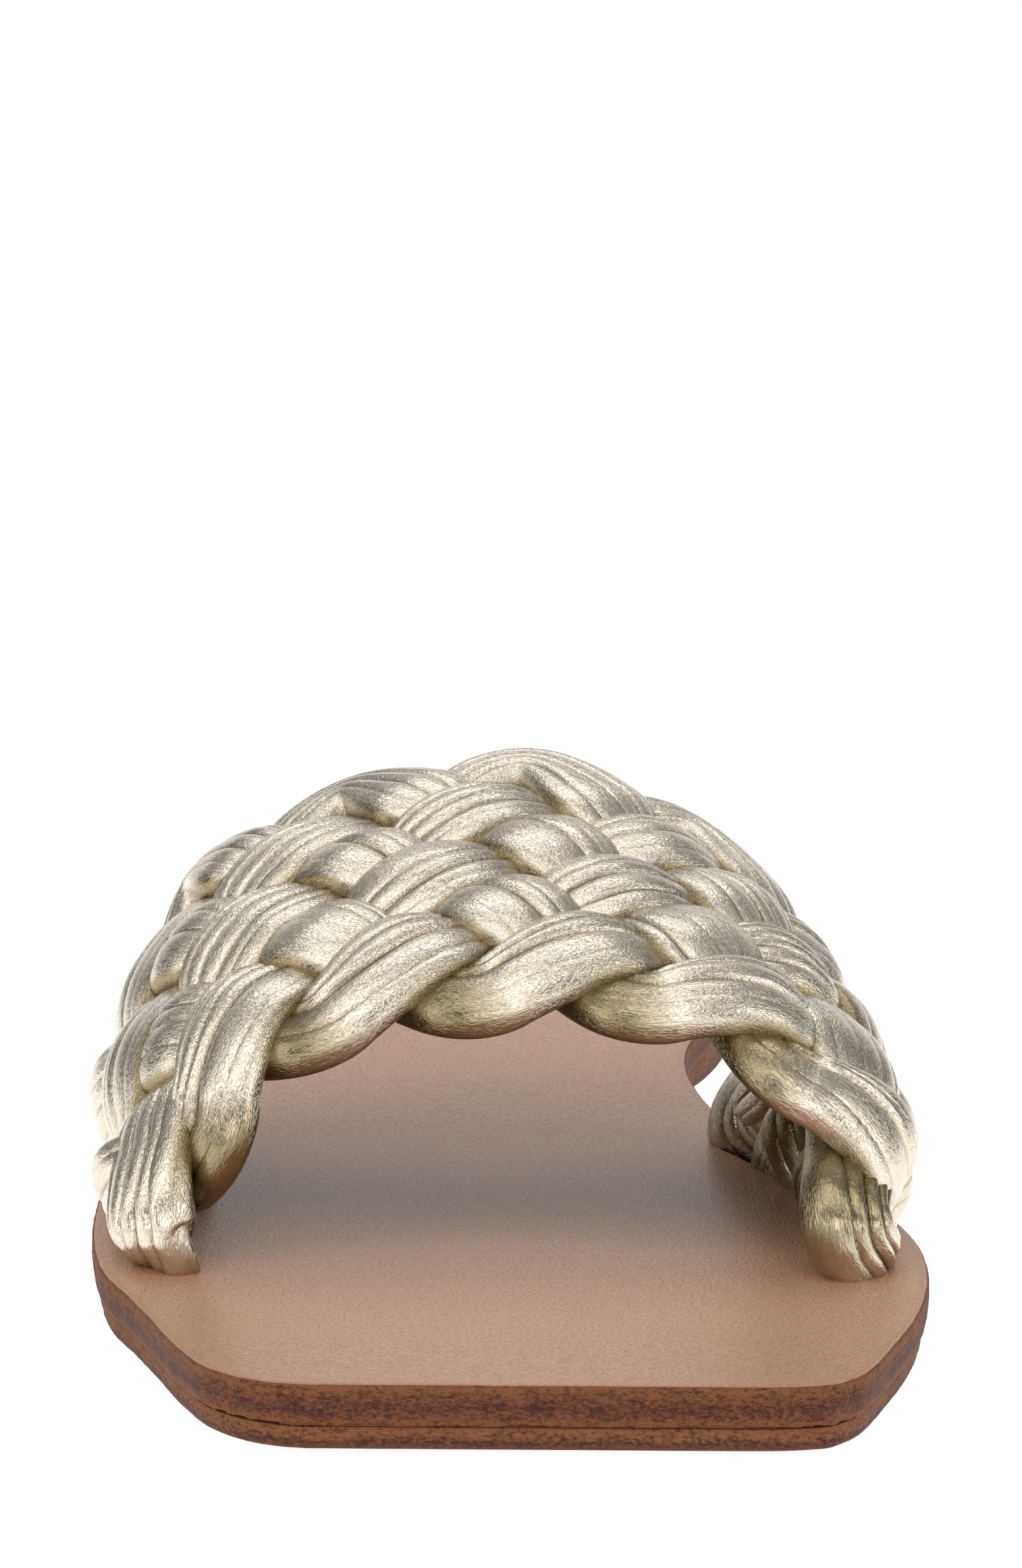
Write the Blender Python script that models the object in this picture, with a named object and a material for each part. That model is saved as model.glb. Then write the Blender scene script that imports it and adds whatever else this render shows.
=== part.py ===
"""A right-foot slide sandal: a stacked leather sole and a wide braided strap.

The shoe is drawn in millimetres in its own measures: x to the big-toe side,
"behind" is the distance back from the front edge of the sole, z up from the
floor. The toe points to -Y. Everything is moved to the middle of its
bounding box at the end, so the origin is on the floor under that middle.
"""
import math

import bmesh
import bpy
from mathutils import Vector

MM = 0.001

# Sole, in millimetres
SOLE_LENGTH = 255.0
BALL_WIDTH = 95.0
EDGE_STATIONS = 46
GAP = 0.3
INSOLE_THICK = 1.1
MIDSOLE_THICK = 3.0
OUTSOLE_THICK = 2.6
HEEL_EXTRA = 2.0
TOE_SPRING = 1.3
TOE_SPRING_LENGTH = 40.0
WAIST_LIFT = 1.7
WAIST_START = 112.0
WAIST_END = 186.0
HEEL_RISE_START = 92.0
EDGE_ROUND = 0.5
LAYER_TAPER = 0.8
OUTSOLE_INSET = 0.9
FRONT_SKEW = 0.03
SKEW_FADE = 60.0

# Outline of the footbed: distance behind the front edge as a share of the
# length, then the big-toe side and the little-toe side as shares of the ball
# width, both measured from a straight line down the middle of the shoe.
OUTLINE = (
    # behind, big-toe side, little-toe side
    (0.000, 0.291, 0.231),
    (0.005, 0.349, 0.272),
    (0.018, 0.381, 0.314),
    (0.039, 0.405, 0.350),
    (0.078, 0.434, 0.386),
    (0.118, 0.462, 0.416),
    (0.157, 0.482, 0.448),
    (0.196, 0.492, 0.482),
    (0.243, 0.489, 0.501),
    (0.290, 0.467, 0.508),
    (0.337, 0.430, 0.508),
    (0.380, 0.385, 0.503),
    (0.420, 0.337, 0.495),
    (0.459, 0.292, 0.482),
    (0.510, 0.254, 0.461),
    (0.565, 0.235, 0.436),
    (0.616, 0.243, 0.413),
    (0.675, 0.280, 0.392),
    (0.745, 0.315, 0.377),
    (0.816, 0.326, 0.364),
    (0.875, 0.307, 0.341),
    (0.925, 0.259, 0.297),
    (0.965, 0.186, 0.230),
    (0.990, 0.105, 0.154),
    (1.000, 0.032, 0.074),
)

# Strap. Each row is one section of the middle of its wall, from the
# little-toe side over the foot to the big-toe side. A point is x as a share
# of the ball width, distance behind the front edge as a share of the sole's
# length, and height over the footbed as a share of the strap's height.
STRAP_HEIGHT = 42.0
STRAP_SECTIONS = (
    {
        "outer base": (-0.393, 0.186, 0.000),
        "outer low": (-0.387, 0.190, 0.190),
        "outer side": (-0.352, 0.210, 0.443),
        "outer shoulder": (-0.247, 0.225, 0.619),
        "crown": (-0.032, 0.235, 0.681),
        "inner shoulder": (0.189, 0.231, 0.643),
        "inner side": (0.333, 0.214, 0.476),
        "inner low": (0.395, 0.188, 0.243),
        "inner base": (0.409, 0.176, 0.000),
    },
    {
        "outer base": (-0.417, 0.318, 0.000),
        "outer low": (-0.476, 0.312, 0.262),
        "outer side": (-0.444, 0.325, 0.536),
        "outer shoulder": (-0.305, 0.345, 0.795),
        "crown": (-0.021, 0.357, 0.905),
        "inner shoulder": (0.253, 0.349, 0.771),
        "inner side": (0.399, 0.329, 0.505),
        "inner low": (0.447, 0.306, 0.262),
        "inner base": (0.399, 0.308, 0.000),
    },
    {
        "outer base": (-0.398, 0.453, 0.000),
        "outer low": (-0.448, 0.453, 0.286),
        "outer side": (-0.423, 0.455, 0.583),
        "outer shoulder": (-0.301, 0.467, 0.833),
        "crown": (-0.016, 0.475, 1.000),
        "inner shoulder": (0.184, 0.467, 0.893),
        "inner side": (0.341, 0.439, 0.571),
        "inner low": (0.301, 0.437, 0.214),
        "inner base": (0.259, 0.439, 0.000),
    },
)
LEG_STRAIGHT = 2.6
STRANDS = 7
CELLS_AROUND = 72
CELLS_DEEP = 22
WALL_INSIDE = 2.5
WALL_LEG = 1.7
STRIP_VALLEY = 0.5
STRIP_HEIGHT = 3.4
CROSSING_STEP = 0.55
SCALLOP = 0.34
LEG_FADE = 0.04
SLOT_CLEARANCE = 0.32
# Where the braid's loops sit: the loop at the middle of the front edge, how
# far the same place moves round by the rear edge, and the room for one loop
# along each edge, all as shares of the way round the strap.
MIDDLE_LOOP = 4.0
FRONT_MIDDLE = 0.467
REAR_SHIFT = 0.142
FRONT_PITCH = 0.160
REAR_PITCH = 0.148
FINE_STEPS = 400
EVEN_STEPS = 140

LEATHER_TAN = (0.53, 0.32, 0.21, 1.0)
LEATHER_EDGE = (0.36, 0.13, 0.055, 1.0)
LEATHER_SOLE = (0.42, 0.17, 0.075, 1.0)
FOIL_GOLD = (0.64, 0.52, 0.36, 1.0)


def clear_scene():
    for old in list(bpy.data.objects):
        bpy.data.objects.remove(old, do_unlink=True)


def make_collection(name):
    collection = bpy.data.collections.new(name)
    bpy.context.scene.collection.children.link(collection)
    return collection


def material(name, colour, roughness, metallic):
    made = bpy.data.materials.new(name)
    made.use_nodes = True
    shader = made.node_tree.nodes["Principled BSDF"]
    shader.inputs["Base Color"].default_value = colour
    shader.inputs["Roughness"].default_value = roughness
    shader.inputs["Metallic"].default_value = metallic
    return made


def object_from_bmesh(name, mesh_data, collection, look):
    bmesh.ops.recalc_face_normals(mesh_data, faces=mesh_data.faces)
    mesh = bpy.data.meshes.new(name)
    mesh_data.to_mesh(mesh)
    mesh_data.free()
    made = bpy.data.objects.new(name, mesh)
    collection.objects.link(made)
    if look is not None:
        mesh.materials.append(look)
    return made


def smoothstep(value):
    value = min(max(value, 0.0), 1.0)
    return value * value * (3.0 - 2.0 * value)


def catmull(points, place):
    """Point on a smooth curve through the points; place runs 0 to 1."""
    spans = len(points) - 1
    scaled = min(max(place, 0.0), 1.0) * spans
    index = min(int(scaled), spans - 1)
    u = scaled - index
    before = points[max(index - 1, 0)]
    start = points[index]
    end = points[index + 1]
    after = points[min(index + 2, spans)]
    result = []
    for a, b, c, d in zip(before, start, end, after):
        cubic = -a + 3.0 * b - 3.0 * c + d
        square = 2.0 * a - 5.0 * b + 4.0 * c - d
        result.append(0.5 * (2.0 * b + (c - a) * u + square * u * u + cubic * u ** 3))
    return tuple(result)


# Heights of the sole

def underside(behind):
    """Height of the outsole's underside: toe spring, flat, waist, flat heel."""
    lift = 0.0
    if behind < TOE_SPRING_LENGTH:
        lift += TOE_SPRING * (1.0 - behind / TOE_SPRING_LENGTH) ** 2
    if WAIST_START < behind < WAIST_END:
        share = (behind - WAIST_START) / (WAIST_END - WAIST_START)
        lift += WAIST_LIFT * math.sin(math.pi * share) ** 2
    return lift


def outsole_top(behind):
    """The layers above follow this: toe spring, then a low rise to the heel."""
    lift = 0.0
    if behind < TOE_SPRING_LENGTH:
        lift += TOE_SPRING * (1.0 - behind / TOE_SPRING_LENGTH) ** 2
    rise = (behind - HEEL_RISE_START) / (WAIST_END - HEEL_RISE_START)
    return OUTSOLE_THICK + lift + HEEL_EXTRA * smoothstep(rise)


def footbed_top(behind):
    return outsole_top(behind) + GAP + MIDSOLE_THICK + GAP + INSOLE_THICK


# Outline of the sole

def outline_sides():
    """Matching points down the big-toe and little-toe sides, toe to heel."""
    inner = []
    outer = []
    for step in range(EDGE_STATIONS + 1):
        place = step / EDGE_STATIONS
        behind, inner_share, outer_share = catmull(OUTLINE, place)
        behind = behind * SOLE_LENGTH
        inner_x = inner_share * BALL_WIDTH
        outer_x = -outer_share * BALL_WIDTH
        skew = FRONT_SKEW * max(1.0 - behind / SKEW_FADE, 0.0)
        inner.append(Vector((inner_x, behind - skew * inner_x)))
        outer.append(Vector((outer_x, behind - skew * outer_x)))
    return inner, outer


def inset_sides(inset):
    """The same outline moved inwards by inset, square to itself."""
    inner, outer = outline_sides()
    loop = inner + outer[::-1]
    moved = []
    count = len(loop)
    for index, point in enumerate(loop):
        along = (loop[(index + 1) % count] - loop[index - 1]).normalized()
        before = (point - loop[index - 1]).normalized()
        after = (loop[(index + 1) % count] - point).normalized()
        square = Vector((-along.y, along.x))
        spread = max(math.cos(before.angle(after) * 0.5), 0.5)
        moved.append(point + square * inset / spread)
    half = count // 2
    return moved[:half], moved[half:][::-1]


def layer(name, levels, collection, look):
    """A closed sole layer. levels are (inset, height function), low to high."""
    mesh_data = bmesh.new()
    rings = []
    for inset, height in levels:
        inner, outer = inset_sides(inset)
        ring = []
        for inner_point, outer_point in zip(inner, outer):
            pair = []
            for point in (inner_point, outer_point):
                place = Vector((point.x, point.y, height(point.y))) * MM
                pair.append(mesh_data.verts.new(place))
            ring.append(pair)
        rings.append(ring)
    last = EDGE_STATIONS
    for station in range(last):
        for ring in (rings[0], rings[-1]):
            a, b = ring[station]
            c, d = ring[station + 1]
            mesh_data.faces.new((a, b, d, c))
        for low, high in zip(rings[:-1], rings[1:]):
            for side in (0, 1):
                a = low[station][side]
                b = low[station + 1][side]
                c = high[station + 1][side]
                d = high[station][side]
                mesh_data.faces.new((a, b, c, d))
    for low, high in zip(rings[:-1], rings[1:]):
        for end in (0, last):
            a, b = low[end]
            d, c = high[end]
            mesh_data.faces.new((a, b, c, d))
    return object_from_bmesh(name, mesh_data, collection, look)


# Strap: the middle of its wall

def section_points(section):
    """Points of one section, with the short straight leg over each slot."""
    points = []
    for x_share, behind_share, over_share in section.values():
        behind = behind_share * SOLE_LENGTH
        height = footbed_top(behind) + over_share * STRAP_HEIGHT
        points.append(Vector((x_share * BALL_WIDTH, behind, height)))
    first, last = points[0], points[-1]
    leg = Vector((0.0, 0.0, LEG_STRAIGHT))
    first_leg = first + leg + (points[1] - first) * 0.04
    last_leg = last + leg + (points[-2] - last) * 0.04
    return [first, first_leg] + points[1:-1] + [last_leg, last]


def even_points(section):
    """Evenly spaced points along the smooth curve of one section."""
    control = [tuple(point) for point in section_points(section)]
    fine = [Vector(catmull(control, step / FINE_STEPS)) for step in range(FINE_STEPS + 1)]
    lengths = [0.0]
    for near, far in zip(fine[:-1], fine[1:]):
        lengths.append(lengths[-1] + (far - near).length)
    even = []
    index = 0
    for step in range(EVEN_STEPS + 1):
        target = lengths[-1] * step / EVEN_STEPS
        while index < FINE_STEPS - 1 and lengths[index + 1] < target:
            index += 1
        share = (target - lengths[index]) / (lengths[index + 1] - lengths[index])
        even.append(fine[index].lerp(fine[index + 1], share))
    return even


SECTION_CURVES = [even_points(section) for section in STRAP_SECTIONS]


def strap_point(around, depth_share):
    """Middle of the wall. around and depth_share both run 0 to 1."""
    scaled = min(max(around, 0.0), 1.0) * EVEN_STEPS
    index = min(int(scaled), EVEN_STEPS - 1)
    share = scaled - index
    t = depth_share
    weights = (
        2.0 * (t - 0.5) * (t - 1.0),
        -4.0 * t * (t - 1.0),
        2.0 * t * (t - 0.5),
    )
    point = Vector((0.0, 0.0, 0.0))
    for curve, weight in zip(SECTION_CURVES, weights):
        point += curve[index].lerp(curve[index + 1], share) * weight
    return point


def strap_normal(around, depth_share):
    step = 0.01
    a0 = max(around - step, 0.0)
    a1 = min(around + step, 1.0)
    d0 = max(depth_share - step, 0.0)
    d1 = min(depth_share + step, 1.0)
    across = strap_point(a1, depth_share) - strap_point(a0, depth_share)
    along = strap_point(around, d1) - strap_point(around, d0)
    return across.cross(along).normalized()


def leg_share(around):
    """0 where the strap stands in its slot, 1 where the braid is full."""
    return smoothstep(min(around, 1.0 - around) / LEG_FADE)


def loops_along(around, depth_share):
    """Place counted in loops of the braid, which splays towards the rear."""
    middle = FRONT_MIDDLE + REAR_SHIFT * depth_share
    pitch = FRONT_PITCH + (REAR_PITCH - FRONT_PITCH) * depth_share
    return MIDDLE_LOOP + (around - middle) / pitch


def edge_row(around, rear):
    """Row of the scalloped front or rear edge at this place."""
    if rear:
        swell = abs(math.sin(math.pi * loops_along(around, 1.0)))
    else:
        swell = abs(math.cos(math.pi * loops_along(around, 0.0)))
    reach = (SCALLOP * (2.0 * swell - 1.0)) * leg_share(around)
    return STRANDS + reach if rear else -reach


def strip_height(around, row):
    """Height of the strips over the wall: each crosses over one, under one."""
    loops = loops_along(around, row / STRANDS)
    rising = loops - row * 0.5
    falling = loops + row * 0.5
    off_rising = abs(rising - round(rising)) * 2.0
    off_falling = abs(falling - round(falling)) * 2.0
    step = CROSSING_STEP * math.cos(math.pi * (row - 1.0))
    rising_top = math.sqrt(max(1.0 - off_rising ** 2, 0.0)) * 0.8 + step
    falling_top = math.sqrt(max(1.0 - off_falling ** 2, 0.0)) * 0.8 - step
    top = max(rising_top, falling_top, 0.0) / (0.8 + CROSSING_STEP)
    return STRIP_VALLEY + STRIP_HEIGHT * top


def wall_outside(around, row, front_edge, rear_edge):
    edge = min(row - front_edge, rear_edge - row)
    round_over = math.sqrt(max(1.0 - (1.0 - min(edge / 0.55, 1.0)) ** 2, 0.0))
    relief = strip_height(around, row) * (0.35 + 0.65 * round_over)
    share = leg_share(around)
    return WALL_LEG * (1.0 - share) + relief * share


def wall_inside(around):
    return WALL_LEG + (WALL_INSIDE - WALL_LEG) * leg_share(around)


def upper(collection, look):
    columns = CELLS_AROUND
    mesh_data = bmesh.new()
    inside = []
    outside = []
    for column in range(columns + 1):
        around = column / columns
        front_edge = edge_row(around, False)
        rear_edge = edge_row(around, True)
        inside_line = []
        outside_line = []
        for deep in range(CELLS_DEEP + 1):
            share = deep / CELLS_DEEP
            row = front_edge + (rear_edge - front_edge) * share
            depth_share = row / STRANDS
            middle = strap_point(around, depth_share)
            square = strap_normal(around, min(max(depth_share, 0.0), 1.0))
            if column in (0, columns):
                square = Vector((square.x, square.y, 0.0)).normalized()
            rise = wall_outside(around, row, front_edge, rear_edge)
            inside_line.append(middle - square * wall_inside(around))
            outside_line.append(middle + square * rise)
        inside.append(inside_line)
        outside.append(outside_line)
    for lines in (inside, outside):
        for end in (0, -1):
            foot = []
            for point in lines[end]:
                floor = outsole_top(point.y) + GAP
                foot.append(Vector((point.x, point.y, floor)))
            if end == 0:
                lines.insert(0, foot)
            else:
                lines.append(foot)
    grids = []
    for lines in (inside, outside):
        grids.append([[mesh_data.verts.new(p * MM) for p in line] for line in lines])
    inner_grid, outer_grid = grids
    count = len(inner_grid)
    for column in range(count - 1):
        for deep in range(CELLS_DEEP):
            for grid in grids:
                a = grid[column][deep]
                b = grid[column + 1][deep]
                c = grid[column + 1][deep + 1]
                d = grid[column][deep + 1]
                mesh_data.faces.new((a, b, c, d))
        for deep in (0, CELLS_DEEP):
            a = inner_grid[column][deep]
            b = inner_grid[column + 1][deep]
            c = outer_grid[column + 1][deep]
            d = outer_grid[column][deep]
            mesh_data.faces.new((a, b, c, d))
    for column in (0, count - 1):
        for deep in range(CELLS_DEEP):
            a = inner_grid[column][deep]
            b = inner_grid[column][deep + 1]
            c = outer_grid[column][deep + 1]
            d = outer_grid[column][deep]
            mesh_data.faces.new((a, b, c, d))
    return object_from_bmesh("upper", mesh_data, collection, look)


def slot_cutter(name, around, collection):
    """A tall curved blade along one base line of the strap."""
    mesh_data = bmesh.new()
    spread = WALL_LEG + SLOT_CLEARANCE
    steps = 16
    rings = []
    for step in range(steps + 1):
        depth_share = step / steps
        middle = strap_point(around, depth_share)
        square = strap_normal(around, depth_share)
        square = Vector((square.x, square.y, 0.0)).normalized()
        if step in (0, steps):
            nearby = strap_point(around, abs(depth_share - 0.02))
            outward = (middle - nearby).normalized()
            middle = middle + outward * SLOT_CLEARANCE
        ring = []
        for side, height in ((-1, -4.0), (1, -4.0), (1, 6.0), (-1, 6.0)):
            base = outsole_top(middle.y) if height < 0.0 else footbed_top(middle.y)
            point = middle + square * spread * side
            ring.append(mesh_data.verts.new(Vector((point.x, point.y, base + height)) * MM))
        rings.append(ring)
    for near, far in zip(rings[:-1], rings[1:]):
        for index in range(4):
            following = (index + 1) % 4
            mesh_data.faces.new((near[index], near[following], far[following], far[index]))
    mesh_data.faces.new(rings[0])
    mesh_data.faces.new(rings[-1])
    cutter = object_from_bmesh(name, mesh_data, collection, None)
    cutter.hide_render = True
    cutter.display_type = "WIRE"
    return cutter


def cut(target, cutters):
    for cutter in cutters:
        modifier = target.modifiers.new("slot", "BOOLEAN")
        modifier.operation = "DIFFERENCE"
        modifier.solver = "EXACT"
        modifier.object = cutter


def middle_of(objects):
    """Point under the middle of the objects' box, at its lowest height."""
    places = [vertex.co for each in objects for vertex in each.data.vertices]
    low = [min(place[axis] for place in places) for axis in range(3)]
    high = [max(place[axis] for place in places) for axis in range(3)]
    return Vector(((low[0] + high[0]) * 0.5, (low[1] + high[1]) * 0.5, low[2]))


def main():
    clear_scene()
    sandal = make_collection("slide sandal")
    cutters = make_collection("cutters")

    edge_look = material("stacked leather edge", LEATHER_EDGE, 0.42, 0.0)
    sole_look = material("sole leather", LEATHER_SOLE, 0.5, 0.0)
    tan_look = material("insole leather", LEATHER_TAN, 0.5, 0.0)
    gold_look = material("metallic strap leather", FOIL_GOLD, 0.34, 0.85)

    def midsole_low(behind):
        return outsole_top(behind) + GAP

    def midsole_high(behind):
        return midsole_low(behind) + MIDSOLE_THICK

    def insole_low(behind):
        return midsole_high(behind) + GAP

    outsole = layer(
        "outsole",
        (
            (OUTSOLE_INSET + LAYER_TAPER, underside),
            (OUTSOLE_INSET, lambda behind: underside(behind) + LAYER_TAPER),
            (OUTSOLE_INSET, lambda behind: outsole_top(behind) - EDGE_ROUND),
            (OUTSOLE_INSET + EDGE_ROUND, outsole_top),
        ),
        sandal,
        sole_look,
    )
    midsole = layer(
        "midsole",
        (
            (LAYER_TAPER, midsole_low),
            (0.2, lambda behind: midsole_low(behind) + LAYER_TAPER),
            (0.0, midsole_high),
        ),
        sandal,
        edge_look,
    )
    insole = layer(
        "insole",
        (
            (0.0, insole_low),
            (0.0, lambda behind: footbed_top(behind) - EDGE_ROUND),
            (EDGE_ROUND, footbed_top),
        ),
        sandal,
        tan_look,
    )
    strap = upper(sandal, gold_look)

    slots = [
        slot_cutter("little-toe side slot", 0.0, cutters),
        slot_cutter("big-toe side slot", 1.0, cutters),
    ]
    cut(midsole, slots)
    cut(insole, slots)

    parts = [outsole, midsole, insole, strap]
    middle = middle_of(parts)
    for each in parts + slots:
        each.location = -middle
    for polygon in strap.data.polygons:
        polygon.use_smooth = True


main()
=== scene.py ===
"""A right-foot slide sandal: stacked leather sole, wide braided strap in metallic leather.

Shoe measures are in millimetres: x to the big-toe side, "behind" is the distance
back from the front edge of the sole, z up from the floor. The toe points to -Y.
"""
import math

import bmesh
import bpy
import numpy as np
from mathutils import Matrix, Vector, noise


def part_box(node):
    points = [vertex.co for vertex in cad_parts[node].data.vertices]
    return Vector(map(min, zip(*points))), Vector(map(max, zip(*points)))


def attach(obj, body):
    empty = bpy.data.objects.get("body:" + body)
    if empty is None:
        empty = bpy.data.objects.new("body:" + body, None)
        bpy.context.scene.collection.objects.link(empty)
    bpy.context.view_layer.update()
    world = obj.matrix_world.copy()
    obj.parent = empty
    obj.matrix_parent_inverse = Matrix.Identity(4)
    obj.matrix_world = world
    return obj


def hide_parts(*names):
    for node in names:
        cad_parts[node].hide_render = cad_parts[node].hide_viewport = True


MM = 0.001
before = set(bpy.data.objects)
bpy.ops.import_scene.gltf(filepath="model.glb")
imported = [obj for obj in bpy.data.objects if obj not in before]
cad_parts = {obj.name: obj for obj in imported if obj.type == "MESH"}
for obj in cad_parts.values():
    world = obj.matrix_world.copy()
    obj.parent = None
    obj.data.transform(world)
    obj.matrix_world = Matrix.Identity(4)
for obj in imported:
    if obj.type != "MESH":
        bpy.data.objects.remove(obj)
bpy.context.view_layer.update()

# Sole, in millimetres
SOLE_LENGTH = 255.0
BALL_WIDTH = 95.0
GAP = 0.3
INSOLE_THICK = 1.1
MIDSOLE_THICK = 3.0
OUTSOLE_THICK = 2.6
HEEL_EXTRA = 2.0
TOE_SPRING = 1.3
TOE_SPRING_LENGTH = 40.0
WAIST_LIFT = 1.7
WAIST_START = 112.0
WAIST_END = 186.0
HEEL_RISE_START = 92.0
LAYER_TAPER = 0.8
OUTSOLE_INSET = 0.9
FRONT_SKEW = 0.03
SKEW_FADE = 60.0
EDGE_STATIONS = 800
FRONT_POINTS = 160
HEEL_POINTS = 24
SHARP_ANGLE = 38.0

# Shares of the sole's length and of the ball width
OUTLINE = (
    # behind, big-toe side, little-toe side
    (0.000, 0.291, 0.231),
    (0.005, 0.349, 0.272),
    (0.018, 0.381, 0.314),
    (0.039, 0.405, 0.350),
    (0.078, 0.434, 0.386),
    (0.118, 0.462, 0.416),
    (0.157, 0.482, 0.448),
    (0.196, 0.492, 0.482),
    (0.243, 0.489, 0.501),
    (0.290, 0.467, 0.508),
    (0.337, 0.430, 0.508),
    (0.380, 0.385, 0.503),
    (0.420, 0.337, 0.495),
    (0.459, 0.292, 0.482),
    (0.510, 0.254, 0.461),
    (0.565, 0.235, 0.436),
    (0.616, 0.243, 0.413),
    (0.675, 0.280, 0.392),
    (0.745, 0.315, 0.377),
    (0.816, 0.326, 0.364),
    (0.875, 0.307, 0.341),
    (0.925, 0.259, 0.297),
    (0.965, 0.186, 0.230),
    (0.990, 0.105, 0.154),
    (1.000, 0.032, 0.074),
)

# Wall of each sole layer, from its lower rim to its top: inset from the outline,
# share of the layer's thickness, height added to it, mark for the edge's shade
LOWER_ROUND = 0.3
OUTSOLE_WALL = (
    (OUTSOLE_INSET + LAYER_TAPER, 0.0, 0.0, 0.0),
    (OUTSOLE_INSET + LOWER_ROUND, 0.0, 0.25, 0.1),
    (OUTSOLE_INSET, 0.0, LAYER_TAPER, 0.3),
    (OUTSOLE_INSET, 0.5, 0.0, 0.6),
    (OUTSOLE_INSET, 1.0, -0.5, 0.85),
    (OUTSOLE_INSET + 0.18, 1.0, -0.12, 0.96),
    (OUTSOLE_INSET + 0.5, 1.0, 0.0, 0.99),
)
MIDSOLE_WALL = (
    (LAYER_TAPER, 0.0, 0.0, 0.0),
    (0.35, 0.0, LOWER_ROUND, 0.1),
    (0.2, 0.0, LAYER_TAPER, 0.25),
    (0.08, 0.0, 1.9, 0.5),
    (0.0, 1.0, 0.0, 0.74),
)
INSOLE_WALL = (
    (0.0, 0.0, 0.0, 0.74),
    (0.0, 1.0, -0.5, 0.9),
    (0.10, 1.0, -0.18, 0.96),
    (0.28, 1.0, -0.05, 1.0),
    (0.6, 1.0, 0.0, 1.0),
    (1.0, 1.0, 0.0, 1.0),
    (1.5, 1.0, 0.0, 1.0),
    (2.4, 1.0, 0.0, 1.0),
)
TOP_MARK = 1.0
RIM_INSET = 0.6
RIM_REACH = 0.8

# Uneven edge and frayed lower rim, as noise of (scale, seed, strength)
EDGE_WAVE = ((0.35, 3.0, 0.10), (1.6, 9.0, 0.05))
RIM_FRAY = ((0.9, 21.0, 1.0), (3.1, 5.0, 0.55))
FRAY_DROP = 0.55
FRAY_LIMIT = 0.27

# Strap: the middle of its wall in three sections, front to rear, as shares of
# the ball width, the sole's length and the strap's height over the footbed
STRAP_HEIGHT = 42.0
LEG_STRAIGHT = 2.6
LEG_LEAN = 0.04
CURVE_LENGTH = 122.0
CURVE_FINE = 1601
CURVE_STEPS = 400
NORMAL_STEP = 0.012
SECTIONS = (
    (
        (-0.393, 0.186, 0.000),
        (-0.387, 0.190, 0.190),
        (-0.352, 0.210, 0.443),
        (-0.247, 0.225, 0.619),
        (-0.032, 0.235, 0.681),
        (0.189, 0.231, 0.643),
        (0.333, 0.214, 0.476),
        (0.395, 0.188, 0.243),
        (0.409, 0.176, 0.000),
    ),
    (
        (-0.417, 0.318, 0.000),
        (-0.476, 0.312, 0.262),
        (-0.444, 0.325, 0.536),
        (-0.305, 0.345, 0.795),
        (-0.021, 0.357, 0.905),
        (0.253, 0.349, 0.771),
        (0.399, 0.329, 0.505),
        (0.447, 0.306, 0.262),
        (0.399, 0.308, 0.000),
    ),
    (
        (-0.398, 0.453, 0.000),
        (-0.448, 0.453, 0.286),
        (-0.423, 0.455, 0.583),
        (-0.301, 0.467, 0.833),
        (-0.016, 0.475, 1.000),
        (0.184, 0.467, 0.893),
        (0.341, 0.439, 0.571),
        (0.301, 0.437, 0.214),
        (0.259, 0.439, 0.000),
    ),
)

# Braid. Rows run 0 at the front edge to 7 at the rear edge, loops run round
STRANDS = 7
ROWS = 7.0
CYCLE = 2.0 * ROWS
MIDDLE_ROW = 0.5 * ROWS
ROWS_PER_LOOP = 2.0
MIDDLE_LOOP = 4.0
FIRST_LOOP = -2.0
LAST_LOOP = 9.5
RING_STEP = 0.022
FRONT_MIDDLE = 0.467
REAR_SHIFT = 0.142
FRONT_PITCH = 0.160
REAR_PITCH = 0.148

# Turns at the strap's edges, in rows, and how the strands swap over and under
TURN = 0.42
TURN_FADE_START = 1.0
TURN_FADE = 2.0
TURN_REACH = 1.2
REAR_SWAP_CURVE = 0.5
FRONT_SWAP_CURVE = 1.3
SWAP_CURVE = 0.8

# Cross-section of a strand, in millimetres and shares
HALF_THICK = 2.2
RIDE_OVER = 1.95
RISING_HALF = 7.3
FALLING_HALF = 7.5
TURN_OUTER = 6.8
TURN_INNER = 4.0
FRONT_TURN_THICK = 0.38
REAR_TURN_THICK = 0.15
UNDER_WIDTH = 0.78
WIDE_START = 0.35
WIDE_SPAN = 1.2
BOXY = 2.8
SLOT_BOXY = 1.5
SAG_LENGTH = 75.0
UNDER_CREASE = 0.6
# Next four: painted shade along a strand's sides and where the strand runs under another
SIDE_SHADE_START = 0.8
SIDE_SHADE_SPAN = 0.2
SIDE_SHADE = 0.7
TUCK_SHADE_START = 0.35
GRAIN_STEP = 211.0

# Ends of the strap. Distances from a slot are shares of the way round
SLOT_HALF = 1.45
SLOT_REACH = 4.0
SLOT_PAST = 0.034
SLOT_FULL_START = 0.02
SLOT_FADE = 0.07
SLOT_FULL_CURVE = 0.7
SLOT_GATHER = 0.12
SLOT_NARROW = 0.66
SLOT_CUT = 1.9
SLOT_END_SHARE = 0.06
CUTTER_STEPS = 40
CUTTER_BELOW = 6.5
CUTTER_ABOVE = 4.0
LEG_BUNCH = 0.30
BUNCH_PLACE = 0.045
BUNCH_REACH = 0.04

# Strands near the front of each leg turn their broad face to the toe
OUTER_TWIST = 0.75
INNER_TWIST = 0.8
LEG_NARROW = 0.1
NARROW_REACH = 0.07
TWIST_REACH = 0.13
TWIST_ROWS = 2.6

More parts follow.
